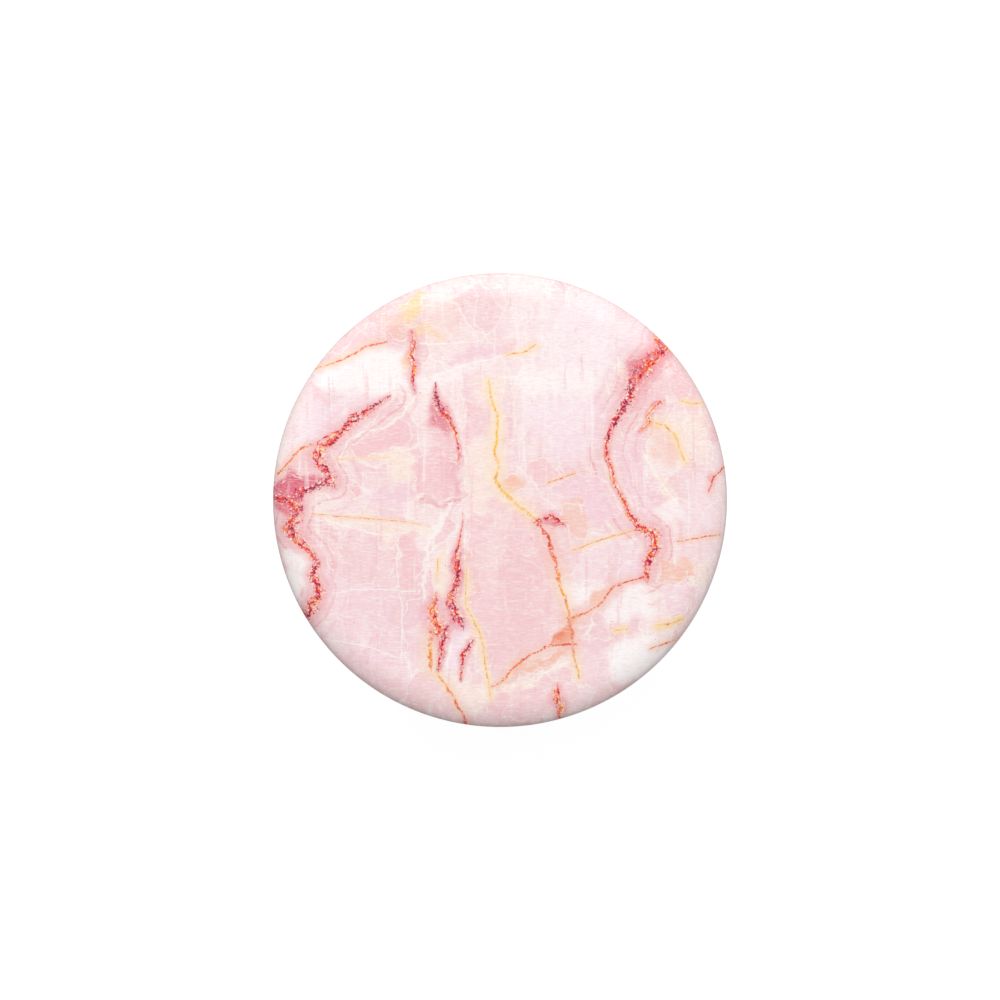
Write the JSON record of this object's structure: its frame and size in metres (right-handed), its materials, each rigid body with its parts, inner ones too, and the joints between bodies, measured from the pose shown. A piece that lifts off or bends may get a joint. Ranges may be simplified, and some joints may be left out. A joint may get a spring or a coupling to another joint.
{
  "type": "collapsible phone grip and stand",
  "caption": "Round grip and stand for a phone's back: a rose-marble disc on a pop-out folding neck over a stick-on base.",
  "frame": {"origin": "centre of the gel's lower face, where it meets the phone", "axes": "+Z along the grip's axis, away from the phone, towards the printed top; +Y towards the top edge of the print and +X to its right"},
  "size_m": [0.0398, 0.0398, 0.0244],
  "materials": {
    "marble_print": "rose-marble print under a satin coat with a fine grain",
    "white_plastic": "white moulded polycarbonate, satin",
    "white_elastomer": "white thermoplastic elastomer, matte",
    "clear_film": "thin clear film with adhesive on both faces",
    "gel": "soft translucent grey gel, smooth and tacky"
  },
  "bodies": {
    "base": {"adhesive_gel": "gel", "carrier_film": "clear_film", "bond_layer": "clear_film", "platform": "white_plastic", "accordion_base_wall": "white_elastomer", "accordion_lower_web": "white_elastomer"},
    "middle": {"accordion_mid_wall": "white_elastomer", "accordion_upper_web": "white_elastomer"},
    "neck": {"accordion_top_wall": "white_elastomer", "collar": "white_plastic"},
    "top": {"lock_stem": "white_plastic", "top_plate": "white_plastic", "cap_bond_film": "clear_film", "printed_cap": "marble_print"}
  },
  "joints": [
    {"name": "lower_fold", "type": "slide", "parent": "base", "child": "middle", "axis": [0, 0, 1], "range_m": [-0.009, 0], "deforming": ["accordion_lower_web"]},
    {"name": "upper_fold", "type": "slide", "parent": "middle", "child": "neck", "axis": [0, 0, 1], "range_m": [-0.009, 0], "deforming": ["accordion_upper_web"]},
    {"name": "top_turn", "type": "hinge", "parent": "neck", "child": "top", "pos_m": [0, 0, 0.0225], "axis": [0, 0, 1], "range_deg": [0, 90]}
  ]
}
